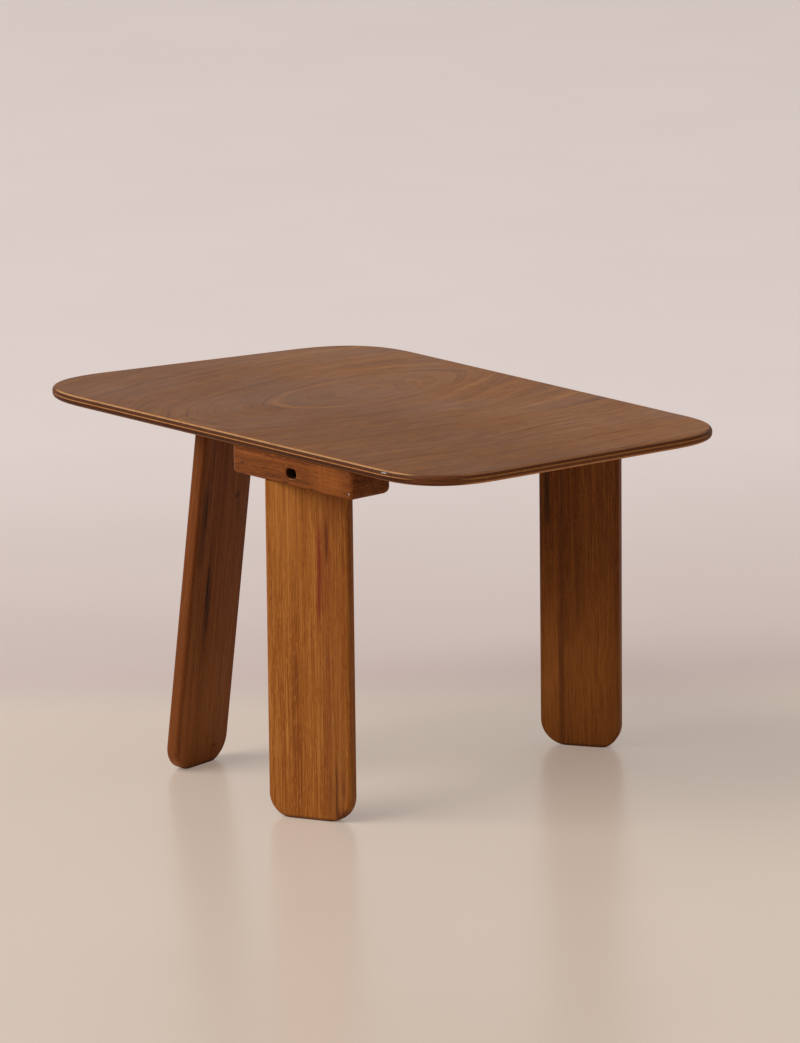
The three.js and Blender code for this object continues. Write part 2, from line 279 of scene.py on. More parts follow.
def face_outwards(piece):
    shape_mode(piece, "FACE")
    bpy.ops.mesh.select_all(action="SELECT")
    bpy.ops.mesh.remove_doubles(threshold=hair / 10)
    bpy.ops.mesh.normals_make_consistent(inside=False)
    object_mode()


def smooth(piece):
    choose(piece)
    bpy.ops.object.shade_smooth_by_angle(angle=smooth_angle)
    piece.select_set(False)


def apply_modifier(piece, kind, **settings):
    modifier = piece.modifiers.new(kind.lower(), kind)
    for name, value in settings.items():
        setattr(modifier, name, value)
    choose(piece)
    bpy.ops.object.modifier_apply(modifier=modifier.name)
    piece.select_set(False)


def copy_of(piece, name):
    """A copy with a mesh of its own."""
    twin = piece.copy()
    twin.data = piece.data.copy()
    twin.name = name
    scene.collection.objects.link(twin)
    return twin


def cut_level(piece, height, keep):
    """Cuts a piece level at a height, keeps what is above or below it, and closes the cut."""
    shape_mode(piece, "VERT")
    bpy.ops.mesh.select_all(action="SELECT")
    bpy.ops.mesh.bisect(
        plane_co=(0, 0, height),
        plane_no=(0, 0, 1),
        use_fill=True,
        clear_inner=keep == "above",
        clear_outer=keep == "below",
        threshold=hair / 10,
    )
    object_mode()


def take_away(piece, cutter):
    """Takes the room of a cutter out of a piece. The cutter goes too."""
    apply_modifier(piece, "BOOLEAN", operation="DIFFERENCE", object=cutter, solver="EXACT")
    bpy.data.objects.remove(cutter)


def fit(piece, node, material):
    """The piece stands for its CAD node, rides with it and has its finish."""
    piece.data.materials.clear()
    piece.data.materials.append(material)
    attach(piece, "root")
    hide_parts(node)


bpy.ops.mesh.primitive_plane_add(size=1)
panel = bpy.context.object
panel.name = "panel"
for vertex in panel.data.vertices:
    right, back = vertex.co.x > 0, vertex.co.y > 0
    corner = [(False, False), (True, False), (True, True), (False, True)].index((right, back))
    vertex.co = (*top_corners[corner][0], panel_underside)

for at, reach in top_corners:
    shape_mode(panel, "VERT")
    pick(panel, "verts", lambda vertex: (vertex.co.xy - Vector(at)).length < hair)
    bpy.ops.mesh.bevel(
        affect="VERTICES",
        offset_type="ABSOLUTE",
        offset=reach,
        segments=corner_steps,
        profile=corner_profile,
    )
    object_mode()

shape_mode(panel, "FACE")
bpy.ops.mesh.select_all(action="SELECT")
pull_up(panel_thickness)
object_mode()
face_outwards(panel)
levels = (panel_underside, top_height)
round_edges(panel, edge_radius, edge_steps, lambda edge: any(ends_near(edge, 2, level) for level in levels))


def work_out(tree, operation, first, second=0.0, third=0.0, clamped=False):
    wires = {0: first, 1: second, 2: third}
    return put(tree, "ShaderNodeMath", wires, operation=operation, use_clamp=clamped).outputs[0]


def times(tree, first, second):
    return work_out(tree, "MULTIPLY", first, second)


def minus(tree, first, second):
    return work_out(tree, "SUBTRACT", first, second)


def over(tree, first, second):
    return work_out(tree, "DIVIDE", first, second)


def unsigned(tree, value):
    return work_out(tree, "ABSOLUTE", value)


def distance(tree, first, second):
    """How far a place is from an axis, by its places along the two others."""
    square = work_out(tree, "MULTIPLY_ADD", first, first, times(tree, second, second))
    return work_out(tree, "SQRT", square)


def total(tree, *parts):
    """The sum of some values, each times its share."""
    amount = 0.0
    for value, share in parts:
        amount = work_out(tree, "MULTIPLY_ADD", value, share, amount)
    return amount


def join(tree, operation, first, second):
    """Works on two places or directions, axis by axis."""
    return put(tree, "ShaderNodeVectorMath", {0: first, 1: second}, operation=operation).outputs[0]


def enlarge(tree, vector, factor):
    wires = {0: vector, "Scale": factor}
    return put(tree, "ShaderNodeVectorMath", wires, operation="SCALE").outputs[0]


def axes_of(tree, vector):
    return put(tree, "ShaderNodeSeparateXYZ", {0: vector}).outputs


def place_from(tree, x, y, z=0.0):
    return put(tree, "ShaderNodeCombineXYZ", {0: x, 1: y, 2: z}).outputs[0]


def drift(tree, vector, scale):
    """A slow drift along all three axes, round zero."""
    wires = {"Vector": stretch(tree, vector, scale), "Scale": 1.0, "Detail": 2.0}
    noise = put(tree, "ShaderNodeTexNoise", wires).outputs["Color"]
    return join(tree, "SUBTRACT", noise, (0.5, 0.5, 0.5))


def soft_line(tree, value, middle, width, strength):
    """A line that is strongest where a value is at its middle."""
    return ease(tree, unsigned(tree, minus(tree, value, middle)), 0.0, width, strength, 0.0)


def three_tones(tree, tone, given):
    """Dark wood where the tone is low, pale wood where it is high."""
    color = blend(tree, ease(tree, tone, 0.40, 0.5), given["Dark"], given["Middle"])
    return blend(tree, ease(tree, tone, 0.5, 0.60), color, given["Pale"])


def new_group(name, inputs, outputs):
    """A shader node group. An input has its usual value, or None for a place or a direction."""
    tree = bpy.data.node_groups.new(name, "ShaderNodeTree")
    for title, value in inputs.items():
        kind = "Vector" if value is None else "Color" if isinstance(value, tuple) else "Float"
        socket = tree.interface.new_socket(title, in_out="INPUT", socket_type="NodeSocket" + kind)
        if value is not None:
            socket.default_value = value
    for title in outputs:
        kind = "Color" if title == "Color" else "Float"
        tree.interface.new_socket(title, in_out="OUTPUT", socket_type="NodeSocket" + kind)
    return tree, put(tree, "NodeGroupInput").outputs, put(tree, "NodeGroupOutput")


def place_group(tree, group, wires):
    return put(tree, "ShaderNodeGroup", wires, node_tree=group).outputs


def dress(shader, color, pattern, relief, sheen=0.5):
    """Gives a shader its colour and sheen, and a pattern's roughness and relief."""
    wires = {"Height": pattern["Height"], "Distance": relief, "Strength": 1.0}
    normal = put(shader.id_data, "ShaderNodeBump", wires).outputs["Normal"]
    feed(shader, {"Base Color": color, "Roughness": pattern["Roughness"]})
    feed(shader, {"Normal": normal, "Specular IOR Level": sheen})


# Ply edges, by their side: one colour in front and behind, one at the sides, one round the corners
plain_color = (0.5, 0.5, 0.5, 1)
glue_color = (0.03, 0.013, 0.006, 1)
glue_reach_below = 0.0004
glue_reach_above = 0.0011

tree, given, result = new_group(
    "ply_edge",
    {
        "Vector": None,
        "Normal": None,
        "Front": plain_color,
        "Side": plain_color,
        "Corner": plain_color,
        "Low": 0.0,
        "High": 1.0,
    },
    ["Color", "Height"],
)
facing = axes_of(tree, given["Normal"])
level_length = distance(tree, facing["X"], facing["Y"])
front_share = ease(tree, over(tree, unsigned(tree, facing["Y"]), level_length), 0.88, 0.99)
side_share = ease(tree, over(tree, unsigned(tree, facing["X"]), level_length), 0.85, 0.975)
color = blend(tree, front_share, given["Corner"], given["Front"])
color = blend(tree, side_share, color, given["Side"])
long_noise = mottle(tree, given["Vector"], (60, 60, 900), detail=4.0, roughness=0.6)
short_noise = mottle(tree, given["Vector"], (900, 900, 500), detail=3.0)
color = blend(tree, ease(tree, long_noise, 0.3, 0.5, 0.45, 0.0), color, given["Corner"])
specks = gray(tree, ease(tree, short_noise, 0.35, 0.65, 0.8, 1.12))
color = blend(tree, 1.0, color, specks, "MULTIPLY")
height = axes_of(tree, given["Vector"])["Z"]
glue_below = ease(tree, minus(tree, height, given["Low"]), 0.0, glue_reach_below, 0.4, 0.0)
glue_above = ease(tree, minus(tree, given["High"], height), 0.0, glue_reach_above, 0.85, 0.0)
glue_above = times(tree, glue_above, ease(tree, side_share, 0.0, 1.0, 1.0, 0.15))
glue = work_out(tree, "MAXIMUM", glue_below, glue_above)
feed(result, {"Color": blend(tree, glue, color, glue_color), "Height": minus(tree, short_noise, glue)})
ply_edge = tree

# Face of the top: brown veneer whose grain runs from front to back, with growth rings cut at a slant
# The loops are the darkest rings, and the stain is how much of their colour lies over the whole face
heart_x = -0.072
heart_depth = 0.012
heart_slope = 0.5
figure_loops = [
    (0.0635, 0.0034, 0.9),
    (0.0500, 0.0020, 0.6),
    (0.1105, 0.0030, 0.85),
    (0.0830, 0.0020, 0.6),
]
loop_color = (0.070, 0.016, 0.002, 1)
face_stain = 0.5
loop_glow_radius = 0.0570
loop_glow_width = 0.0035
loop_glow_strength = 0.55
loop_glow = (0.34, 0.125, 0.018, 1)
dust_color = (0.4, 0.34, 0.3, 1)
dust_strength = 0.35

tree, given, result = new_group(
    "face_grain",
    {"Vector": None, "Pale": plain_color, "Middle": plain_color, "Dark": plain_color},
    ["Color", "Roughness", "Height"],
)
place = given["Vector"]
warp = stretch(tree, drift(tree, place, (9, 4, 1)), (0.045, 0.06, 0))
spot = axes_of(tree, join(tree, "ADD", warp, place))
depth = work_out(tree, "MULTIPLY_ADD", spot["Y"], -heart_slope, heart_depth)
ring_radius = distance(tree, minus(tree, spot["X"], heart_x), depth)
ring_place = place_from(tree, ring_radius, spot["Y"])
rings = mottle(tree, ring_place, (95, 1.5, 1), detail=3.0, roughness=0.6)
ring_lines = mottle(tree, ring_place, (330, 9, 1))
fibres = mottle(tree, place, (420, 48, 1), detail=4.0, roughness=0.7)
blotches = mottle(tree, place, (70, 22, 1), detail=5.0, roughness=0.65)
clouds = mottle(tree, place, (11, 7, 1), detail=3.0, roughness=0.6)
tone = total(tree, (ring_lines, 0.24), (rings, 0.24), (fibres, 0.32), (blotches, 0.14), (clouds, 0.06))
color = three_tones(tree, tone, given)
pore_share = ease(tree, mottle(tree, place, (900, 80, 1), detail=1.0), 0.62, 0.72, 0.0, 0.6)
color = blend(tree, pore_share, color, given["Dark"])
loop_share = face_stain
for loop_radius, loop_width, loop_strength in figure_loops:
    loop = soft_line(tree, ring_radius, loop_radius, loop_width, loop_strength)
    loop_share = work_out(tree, "MAXIMUM", loop_share, loop)
loop_share = times(tree, loop_share, ease(tree, blotches, 0.3, 0.6, 0.5, 1.0))
loop_share = times(tree, loop_share, ease(tree, spot["Y"], -0.06, 0.10, 1.0, 0.4))
color = blend(tree, loop_share, color, loop_color)
glow_share = soft_line(tree, ring_radius, loop_glow_radius, loop_glow_width, loop_glow_strength)
glow_share = times(tree, glow_share, ease(tree, spot["Y"], -0.06, 0.06, 1.0, 0.15))
glow_share = times(tree, glow_share, ease(tree, blotches, 0.4, 0.55, 0.3, 1.0))
color = blend(tree, glow_share, color, loop_glow)
dust = mottle(tree, place, (330, 330, 1), detail=1.0)
color = blend(tree, ease(tree, dust, 0.80, 0.84, 0.0, dust_strength), color, dust_color)
relief = work_out(tree, "MULTIPLY_ADD", fibres, 0.6, minus(tree, ring_lines, pore_share))
feed(result, {"Color": color, "Roughness": ease(tree, clouds, 0.3, 0.7, 0.40, 0.52), "Height": relief})
face_grain = tree

# A small chip where pale, bare wood shows, round one point; the stretch draws it out along X
chip_inputs = {"Vector": None, "Point": None, "Radius": 0.003, "Stretch": 1.0}
tree, given, result = new_group("chip", chip_inputs, ["Mask"])
ragged = mottle(tree, given["Vector"], (700, 700, 700), detail=3.0)
away = join(tree, "SUBTRACT", given["Vector"], given["Point"])
away = join(tree, "DIVIDE", away, place_from(tree, given["Stretch"], 1.0, 1.0))
reach = put(tree, "ShaderNodeVectorMath", {0: away}, operation="LENGTH").outputs["Value"]
reach = over(tree, reach, given["Radius"])
reach = work_out(tree, "ADD", reach, times(tree, minus(tree, ragged, 0.5), 1.6))
feed(result, {"Mask": ease(tree, reach, 0.7, 1.0, 1.0, 0.0)})
chip = tree

edge_colors = {
    "top_face_veneer": ((0.43, 0.205, 0.075, 1), (0.24, 0.095, 0.035, 1)),
    "top_upper_cross_core": ((0.075, 0.020, 0.004, 1), (0.100, 0.028, 0.005, 1)),
    "top_middle_core": ((0.46, 0.19, 0.060, 1), (0.34, 0.135, 0.037, 1)),
    "top_lower_cross_core": ((0.052, 0.013, 0.003, 1), (0.140, 0.045, 0.012, 1)),
    "top_backing_veneer": ((0.22, 0.078, 0.022, 1), (0.44, 0.19, 0.070, 1)),
}
corner_edge = (0.145, 0.042, 0.010, 1)
face_tones = {
    "Pale": (0.335, 0.132, 0.025, 1),
    "Middle": (0.246, 0.083, 0.0095, 1),
    "Dark": (0.130, 0.037, 0.004, 1),
}
satin_sheen = 0.24
edge_sheen = 0.1
edge_roughness = 0.5
top_relief = 0.00008
chip_color = (0.34, 0.31, 0.30, 1)
edge_chip_shape = {"Point": (0.2480, -0.2105, 0.3975), "Radius": 0.0012, "Stretch": 5.0}

ply_low = panel_underside
for name, thickness, finish in ply_thicknesses:
    ply_high = ply_low + thickness
    lowest = name == "top_backing_veneer"
    highest = name == "top_face_veneer"
    ply = copy_of(panel, name + "_sheet")
    if not lowest:
        cut_level(ply, ply_low, "above")
    if not highest:
        cut_level(ply, ply_high, "below")
    face_outwards(ply)
    smooth(ply)
    material, tree, shader = new_material(name + "_finish")
    spot_here = put(tree, "ShaderNodeTexCoord").outputs
    place = spot_here["Object"]
    front_edge, side_edge = edge_colors[name]
    edge_wires = {
        "Vector": place,
        "Normal": spot_here["Normal"],
        "Front": front_edge,
        "Side": side_edge,
        "Corner": corner_edge,
        "Low": ply_low - thickness if lowest else ply_low,
        "High": ply_high + thickness if highest else ply_high,
    }
    edge = place_group(tree, ply_edge, edge_wires)
    face = place_group(tree, face_grain, {"Vector": place, **face_tones})
    level_share = ease(tree, unsigned(tree, axes_of(tree, spot_here["Normal"])["Z"]), 0.86, 0.96)
    color = blend(tree, level_share, edge["Color"], face["Color"])
    if name == "top_upper_cross_core":
        edge_chip = place_group(tree, chip, {"Vector": place, **edge_chip_shape})
        color = blend(tree, edge_chip["Mask"], color, chip_color)
    pattern = {
        "Roughness": between(tree, level_share, edge_roughness, face["Roughness"]),
        "Height": between(tree, level_share, edge["Height"], face["Height"]),
    }
    dress(shader, color, pattern, top_relief, satin_sheen if highest else edge_sheen)
    fit(ply, name, material)
    ply_low = ply_high
bpy.data.objects.remove(panel)

# Cleats under the top
# Blocks of reddish solid wood, with round lower corners, that take the tops of the legs.
# Each has a mortise from below, a cross hole through its long faces and a countersunk hole near each end.

cleat_length = 0.197
cleat_depth = 0.053
cleat_height = 0.030
low_cleat_height = 0.018
cleat_end_radius = 0.006
cleat_corner_radius = 0.005
cleat_front_radius = 0.0025
cleat_back_radius = 0.008
mortise_shift = 0.004
hole_shift = 0.003
hole_height_share = 0.437
mouth_length = 0.0174
mouth_height = 0.0109
mouth_radius = 0.00535
rounding_steps = 8
mouth_ease = 0.0006
tenon_width = 0.030
tenon_thickness = 0.012
pin_hole_radius = 0.005
ring_heart = (0.0965, -0.010, 0.005)
ring_spacing = 0.0034
ring_reach = 0.021
pin_recess = 0.012
screw_end_distance = 0.024
screw_head_radius = 0.004
screw_radius = 0.002
screw_head_height = 0.0026
screw_sink = 0.0005
fit_gap = 0.0003
overrun = 0.020
bore_sides = 40

stations = [
    {
        "name": "front",
        "cleat_height": cleat_height,
        "hole": Vector((0.091087, -0.180986)),
        "cleat_turn": 0.0,
        "foot": Vector((0.111987, -0.202086)),
        "leg_turn": math.radians(24.7),
        "leg_width": 0.097,
        "foot_radii": (0.026, 0.0279),
        "foot_trims": (-0.0002, 0.002),
        "straddles": False,
        "wide_mouth": True,
    },
    {
        "name": "back",
        "cleat_height": cleat_height,
        "hole": Vector((0.132747, 0.165050)),
        "cleat_turn": math.pi + math.atan2(-0.018, 0.636),
        "foot": Vector((0.089147, 0.200350)),
        "leg_turn": math.radians(31.6),
        "leg_width": 0.090,
        "foot_radii": (0.029, 0.0284),
        "foot_trims": (0.0008, 0.0008),
        "straddles": False,
        "wide_mouth": True,
    },
    {
        "name": "left",
        "cleat_height": low_cleat_height,
        "hole": Vector((-0.108813, -0.130086)),
        "cleat_turn": 0.0,
        "foot": Vector((-0.146113, -0.155186)),
        "leg_turn": math.radians(102.1),
        "leg_width": 0.0883,
        "foot_radii": (0.0276, 0.0307),
        "foot_trims": (0.001, 0.001),
        "straddles": True,
        "wide_mouth": False,
    },
]


def leg_frame(station):
    """The leaning frame of a leg: across the board, through it, and up along it, from its foot."""
    hole_height = panel_underside - station["cleat_height"] / 2
    lean = station["hole"] - station["foot"]
    axis = Vector((lean.x, lean.y, hole_height)).normalized()
    level = Vector((math.cos(station["leg_turn"]), math.sin(station["leg_turn"]), 0))
    across_leg = (level - axis * level.dot(axis)).normalized()
    through = axis.cross(across_leg)
    turn = Matrix((across_leg, through, axis)).transposed().to_4x4()
    return Matrix.Translation((*station["foot"], 0)) @ turn


def cleat_frame(station):
    along = Vector((math.cos(station["cleat_turn"]), math.sin(station["cleat_turn"])))
    middle = station["hole"] + along * mortise_shift
    height = panel_underside - station["cleat_height"] / 2
    return Matrix.Translation((*middle, height)) @ Matrix.Rotation(station["cleat_turn"], 4, "Z")


def new_piece(name, at):
    """The piece that was just made, named and moved."""
    piece = bpy.context.object
    piece.name = name
    piece.select_set(False)
    piece.data.transform(at)
    return piece


def block(name, size, middle=(0, 0, 0), at=Matrix()):
    bpy.ops.mesh.primitive_cube_add(size=1)
    piece = new_piece(name, Matrix.Translation(middle) @ Matrix.Diagonal((*size, 1)))
    piece.data.transform(at)
    return piece


def upright_rod(name, radius, low, high, at=Matrix()):
    bpy.ops.mesh.primitive_cylinder_add(vertices=bore_sides, radius=radius, depth=high - low)
    piece = new_piece(name, Matrix.Translation((0, 0, (low + high) / 2)))
    piece.data.transform(at)
    return piece


def rod(name, radius, length, at=Matrix()):
    """A round bar along its own Y axis."""
    piece = upright_rod(name, radius, -length / 2, length / 2, Matrix.Rotation(math.pi / 2, 4, "X"))
    piece.data.transform(at)
    return piece


def tapered(name, low_radius, high_radius, height):
    """A round, tapered piece that stands on its own zero."""
    bpy.ops.mesh.primitive_cone_add(
        vertices=bore_sides, radius1=low_radius, radius2=high_radius, depth=height
    )
    return new_piece(name, Matrix.Translation((0, 0, height / 2)))


def cross_hole_frame(station):
    height = station["cleat_height"]
    beside_middle = (hole_shift - mortise_shift, 0, height * hole_height_share - height / 2)
    return cleat_frame(station) @ Matrix.Translation(beside_middle)


def hole_mouth():
    """The room of the wide, rounded mouth of a cross hole, which opens a little more at the face."""
    face = -cleat_depth / 2
    depth = 2 * (pin_recess - fit_gap)
    piece = block("mouth", (mouth_length, depth, mouth_height), (0, face, 0))
    round_edges(piece, mouth_radius, rounding_steps, lambda edge: spans(edge, 1))
    shape_mode(piece, "VERT")
    bpy.ops.mesh.select_all(action="SELECT")
    bpy.ops.mesh.bisect(plane_co=(0, face + mouth_ease, 0), plane_no=(0, 1, 0))
    bpy.ops.mesh.select_all(action="DESELECT")
    pick(piece, "verts", lambda vertex: vertex.co.y < face - hair)
    flare = (mouth_length + depth) / mouth_length
    lift = (mouth_height + depth) / mouth_height
    bpy.ops.transform.resize(value=(flare, 1, lift), center_override=(0, face, 0))
    object_mode()
    return piece


def screw_places(station):
    reach = cleat_length / 2 - screw_end_distance
    base = cleat_frame(station)
    low = -station["cleat_height"] / 2 + screw_sink
    return [base @ Matrix.Translation((side * reach, 0, low)) for side in (-1, 1)]


def weigh_edges(piece, share, test):
    shape_mode(piece, "EDGE")
    pick(piece, "edges", test)
    bpy.ops.transform.edge_bevelweight(value=share)
    object_mode()


def cleat_block(station):
    height = station["cleat_height"]
    piece = block(station["name"] + "_cleat_block", (cleat_length, cleat_depth, height))
    low = -height / 2
    end = cleat_length / 2
    front = -cleat_depth / 2
    widest = cleat_back_radius

    def at_low_end(edge):
        return ends_near(edge, 2, low) and ends_out(edge, 0, end)

    def at_low_side(edge, side):
        return ends_near(edge, 2, low) and ends_near(edge, 1, side)

    weigh_edges(piece, cleat_corner_radius / widest, lambda edge: spans(edge, 2))
    weigh_edges(piece, cleat_end_radius / widest, at_low_end)
    weigh_edges(piece, cleat_front_radius / widest, lambda edge: at_low_side(edge, front))
    weigh_edges(piece, 1.0, lambda edge: at_low_side(edge, -front))
    rounding = {"width": widest, "segments": rounding_steps, "use_clamp_overlap": False}
    apply_modifier(piece, "BEVEL", limit_method="WEIGHT", **rounding)
    piece.data.transform(cleat_frame(station))

    mortise_size = (tenon_width + 2 * fit_gap, tenon_thickness + 2 * fit_gap, 1.0)
    take_away(piece, block("mortise", mortise_size, (0, 0, 0.5), leg_frame(station)))
    hole_frame = cross_hole_frame(station)
    take_away(piece, rod("hole", pin_hole_radius, cleat_depth + overrun, hole_frame))
    if station["wide_mouth"]:
        mouth = hole_mouth()
        mouth.data.transform(hole_frame)
        take_away(piece, mouth)
    for at in screw_places(station):
        take_away(piece, upright_rod("shank_hole", screw_radius + fit_gap, 0, 2 * cleat_height, at))
        seat = tapered("seat", screw_head_radius + fit_gap, screw_radius + fit_gap, screw_head_height)
        shape_mode(seat, "FACE")
        pick(seat, "faces", lambda face: face.normal.z < -0.9)
        pull_up(-overrun)
        object_mode()
        seat.data.transform(at)
        take_away(piece, seat)
    face_outwards(piece)
    smooth(piece)
    return piece


# Straight-grained solid wood, with the grain along the third coordinate
tree, given, result = new_group(
    "board_grain",
    {
        "Vector": None,
        "Pale": plain_color,
        "Middle": plain_color,
        "Dark": plain_color,
        "Band Scale": 60.0,
        "Line Scale": 420.0,
        "Wander": 0.006,
        "Pores": 0.5,
        "Pore Scale": 900.0,
    },
    ["Color", "Roughness", "Height"],
)
wander = enlarge(tree, drift(tree, given["Vector"], (14, 14, 5)), given["Wander"])
wavy = join(tree, "ADD", wander, given["Vector"])
bands = mottle(tree, enlarge(tree, wavy, given["Band Scale"]), (1, 1, 0.02), detail=3.0, roughness=0.6)
lines = mottle(tree, enlarge(tree, wavy, given["Line Scale"]), (1, 1, 0.008), detail=4.0, roughness=0.7)
threads = mottle(tree, wavy, (1100, 1100, 30), detail=3.0, roughness=0.7)
color = three_tones(tree, total(tree, (lines, 0.46), (bands, 0.24), (threads, 0.30)), given)
pores_place = stretch(tree, enlarge(tree, wavy, given["Pore Scale"]), (1, 1, 0.13))
fleck_share = times(tree, ease(tree, mottle(tree, pores_place), 0.56, 0.68), given["Pores"])
color = blend(tree, fleck_share, color, given["Dark"])
glints = mottle(tree, join(tree, "ADD", pores_place, (31, 17, 5)))
glint_share = times(tree, ease(tree, glints, 0.58, 0.70), given["Pores"])
color = blend(tree, glint_share, color, given["Pale"])
relief = work_out(tree, "MULTIPLY_ADD", threads, 0.5, minus(tree, lines, fleck_share))
feed(result, {"Color": color, "Roughness": ease(tree, bands, 0.3, 0.7, 0.56, 0.44), "Height": relief})
board_grain = tree

# A soft-edged stripe along a board, at one distance from its middle, between two heights
stripe_wander = 0.004
stripe_inputs = {"Vector": None, "Across": 0.0, "Half Width": 0.003, "Low": 0.0, "High": 0.4, "Fade": 0.02}
tree, given, result = new_group("stripe", stripe_inputs, ["Mask"])
spot = axes_of(tree, given["Vector"])
wobble = minus(tree, mottle(tree, given["Vector"], (30, 30, 14), detail=3.0), 0.5)
across_here = work_out(tree, "ADD", spot["X"], times(tree, wobble, stripe_wander))
off = over(tree, unsigned(tree, minus(tree, across_here, given["Across"])), given["Half Width"])
body = ease(tree, minus(tree, 1.0, off), 0.0, 0.8)
rise = ease(tree, over(tree, minus(tree, spot["Z"], given["Low"]), given["Fade"]), 0.0, 1.0)
fall = ease(tree, over(tree, minus(tree, given["High"], spot["Z"]), given["Fade"]), 0.0, 1.0)
broken = ease(tree, mottle(tree, given["Vector"], (500, 500, 25), detail=3.0), 0.3, 0.6, 0.45, 1.0)
feed(result, {"Mask": times(tree, times(tree, body, times(tree, rise, fall)), broken)})
stripe = tree

# Painted shade inside the cross hole: inside an oval round its line along Y, and deeper than the face
hole_inputs = {"Vector": None, "Half Length": 0.005, "Half Height": 0.005, "Face": 0.0265}
tree, given, result = new_group("hole_shade", hole_inputs, ["Mask", "Rim"])
spot = axes_of(tree, given["Vector"])
out_along = over(tree, spot["X"], given["Half Length"])
out_up = over(tree, spot["Z"], given["Half Height"])
from_axis = distance(tree, out_along, out_up)
within = ease(tree, from_axis, 1.15, 1.3, 1.0, 0.0)
deep = ease(tree, minus(tree, given["Face"], unsigned(tree, spot["Y"])), 0.0004, 0.0028)
# A painted highlight on the rim, on the side towards +X and below, which faces the lamp
nicks = mottle(tree, given["Vector"], (700, 700, 700))
off_rim = unsigned(tree, minus(tree, from_axis, 1.08))
rim = ease(tree, work_out(tree, "MULTIPLY_ADD", nicks, 0.08, off_rim), 0.05, 0.14, 1.0, 0.0)
rim = times(tree, rim, ease(tree, minus(tree, out_along, out_up), 0.1, 0.9))
rim = work_out(tree, "SUBTRACT", rim, deep, clamped=True)
feed(result, {"Mask": times(tree, within, deep), "Rim": rim})
hole_shade = tree

# Growth rings round a heart on one line along Y, which fade out a little way from it
tree, given, result = new_group("ring_arcs", {"Vector": None}, ["Mask"])
spot = axes_of(tree, given["Vector"])
from_heart = distance(tree, spot["X"], spot["Z"])
uneven = mottle(tree, given["Vector"], (120, 60, 120))
ring_at = work_out(tree, "MULTIPLY_ADD", uneven, 0.004, from_heart)
ring_waves = work_out(tree, "SINE", times(tree, ring_at, 2 * math.pi / ring_spacing))
ring_fade = ease(tree, over(tree, from_heart, ring_reach), 0.45, 1.0, 1.0, 0.0)
feed(result, {"Mask": times(tree, ease(tree, ring_waves, -0.4, 1.0), ring_fade)})
ring_arcs = tree

cleat_grain = {
    "Pale": (0.235, 0.066, 0.010, 1),
    "Middle": (0.155, 0.039, 0.004, 1),
    "Dark": (0.070, 0.015, 0.001, 1),
    "Band Scale": 130.0,
    "Line Scale": 480.0,
    "Wander": 0.008,
    "Pores": 0.8,
    "Pore Scale": 620.0,
}
# Stripes on the front cleat: a paler band towards its right end, and a pale pinkish stripe on its round
# left corner, partly wear and partly a painted highlight
cleat_wear_and_highlight = [
    (0.060, 0.0400, -cleat_height, cleat_height, 0.02, (0.31, 0.092, 0.014, 1), 0.45),
    (-0.0972, 0.0030, -cleat_height, cleat_height, 0.02, (0.30, 0.120, 0.070, 1), 0.8),
]
# Painted shade deep in the cross hole
painted_hole_shade = (0.030, 0.011, 0.004, 1)
# Painted highlight on the rim of the cross hole, on the side that faces the lamp
painted_rim_highlight = (0.42, 0.20, 0.09, 1)
rim_highlight_strength = 0.6
ring_color = (0.075, 0.014, 0.005, 1)
ring_strength = 0.4
corner_chip_shape = {"Point": (0.1882, -0.2068, 0.3645), "Radius": 0.0013}
dull_sheen = 0.12
wood_relief = 0.00012
grain_sideways = Matrix.Rotation(math.pi / 2, 4, "Y")


def board_space(tree, at):
    """Object coordinates in a board's own frame."""
    turn = {"Location": at.to_translation(), "Rotation": at.to_euler("XYZ")}
    wires = {"Vector": object_place(tree), **turn}
    return put(tree, "ShaderNodeMapping", wires, vector_type="TEXTURE").outputs["Vector"]


def lay_stripes(tree, color, place, stripes):
    """A colour with stripes laid over it, each as strong as it says."""
    for across_at, half_width, low, high, fade, stripe_color, strength in stripes:
        span = {"Low": low, "High": high, "Fade": fade}
        wires = {"Vector": place, "Across": across_at, "Half Width": half_width, **span}
        mask = place_group(tree, stripe, wires)["Mask"]
        color = blend(tree, times(tree, mask, strength), color, stripe_color)
    return color


for station in stations:
    piece = cleat_block(station)
    name = station["name"] + "_cleat"
    material, tree, shader = new_material(name + "_finish")
    at = cleat_frame(station)
    grain_place = board_space(tree, at @ grain_sideways)
    grain = place_group(tree, board_grain, {"Vector": grain_place, **cleat_grain})
    wide = station["wide_mouth"]
    hole_wires = {
        "Vector": board_space(tree, cross_hole_frame(station)),
        "Half Length": mouth_length / 2 if wide else pin_hole_radius,
        "Half Height": mouth_height / 2 if wide else pin_hole_radius,
        "Face": cleat_depth / 2,
    }
    hole = place_group(tree, hole_shade, hole_wires)
    # Painted shade deep in the cross hole
    color = blend(tree, hole["Mask"], grain["Color"], painted_hole_shade)
    # Painted highlight on the rim of the cross hole
    color = blend(tree, times(tree, hole["Rim"], rim_highlight_strength), color, painted_rim_highlight)
    if station["name"] == "front":
        ring_place = board_space(tree, at @ Matrix.Translation(ring_heart))
        rings = place_group(tree, ring_arcs, {"Vector": ring_place})["Mask"]
        color = blend(tree, times(tree, rings, ring_strength), color, ring_color)
        # Wear and a painted highlight on the front cleat's face
        color = lay_stripes(tree, color, board_space(tree, at), cleat_wear_and_highlight)
        corner_chip = place_group(tree, chip, {"Vector": object_place(tree), **corner_chip_shape})
        color = blend(tree, corner_chip["Mask"], color, chip_color)
    dress(shader, color, grain, wood_relief, dull_sheen)
    fit(piece, name, material)

# Legs
# Boards of straight-grained, oiled wood, which splay outwards and end in two round corners on a level foot.
# The top of each is cut down to a tenon that stands in its cleat, with the hole for the cross pin.

leg_thickness = 0.016
leg_edge_radius = 0.004
foot_steps = 16
leg_edge_steps = 6


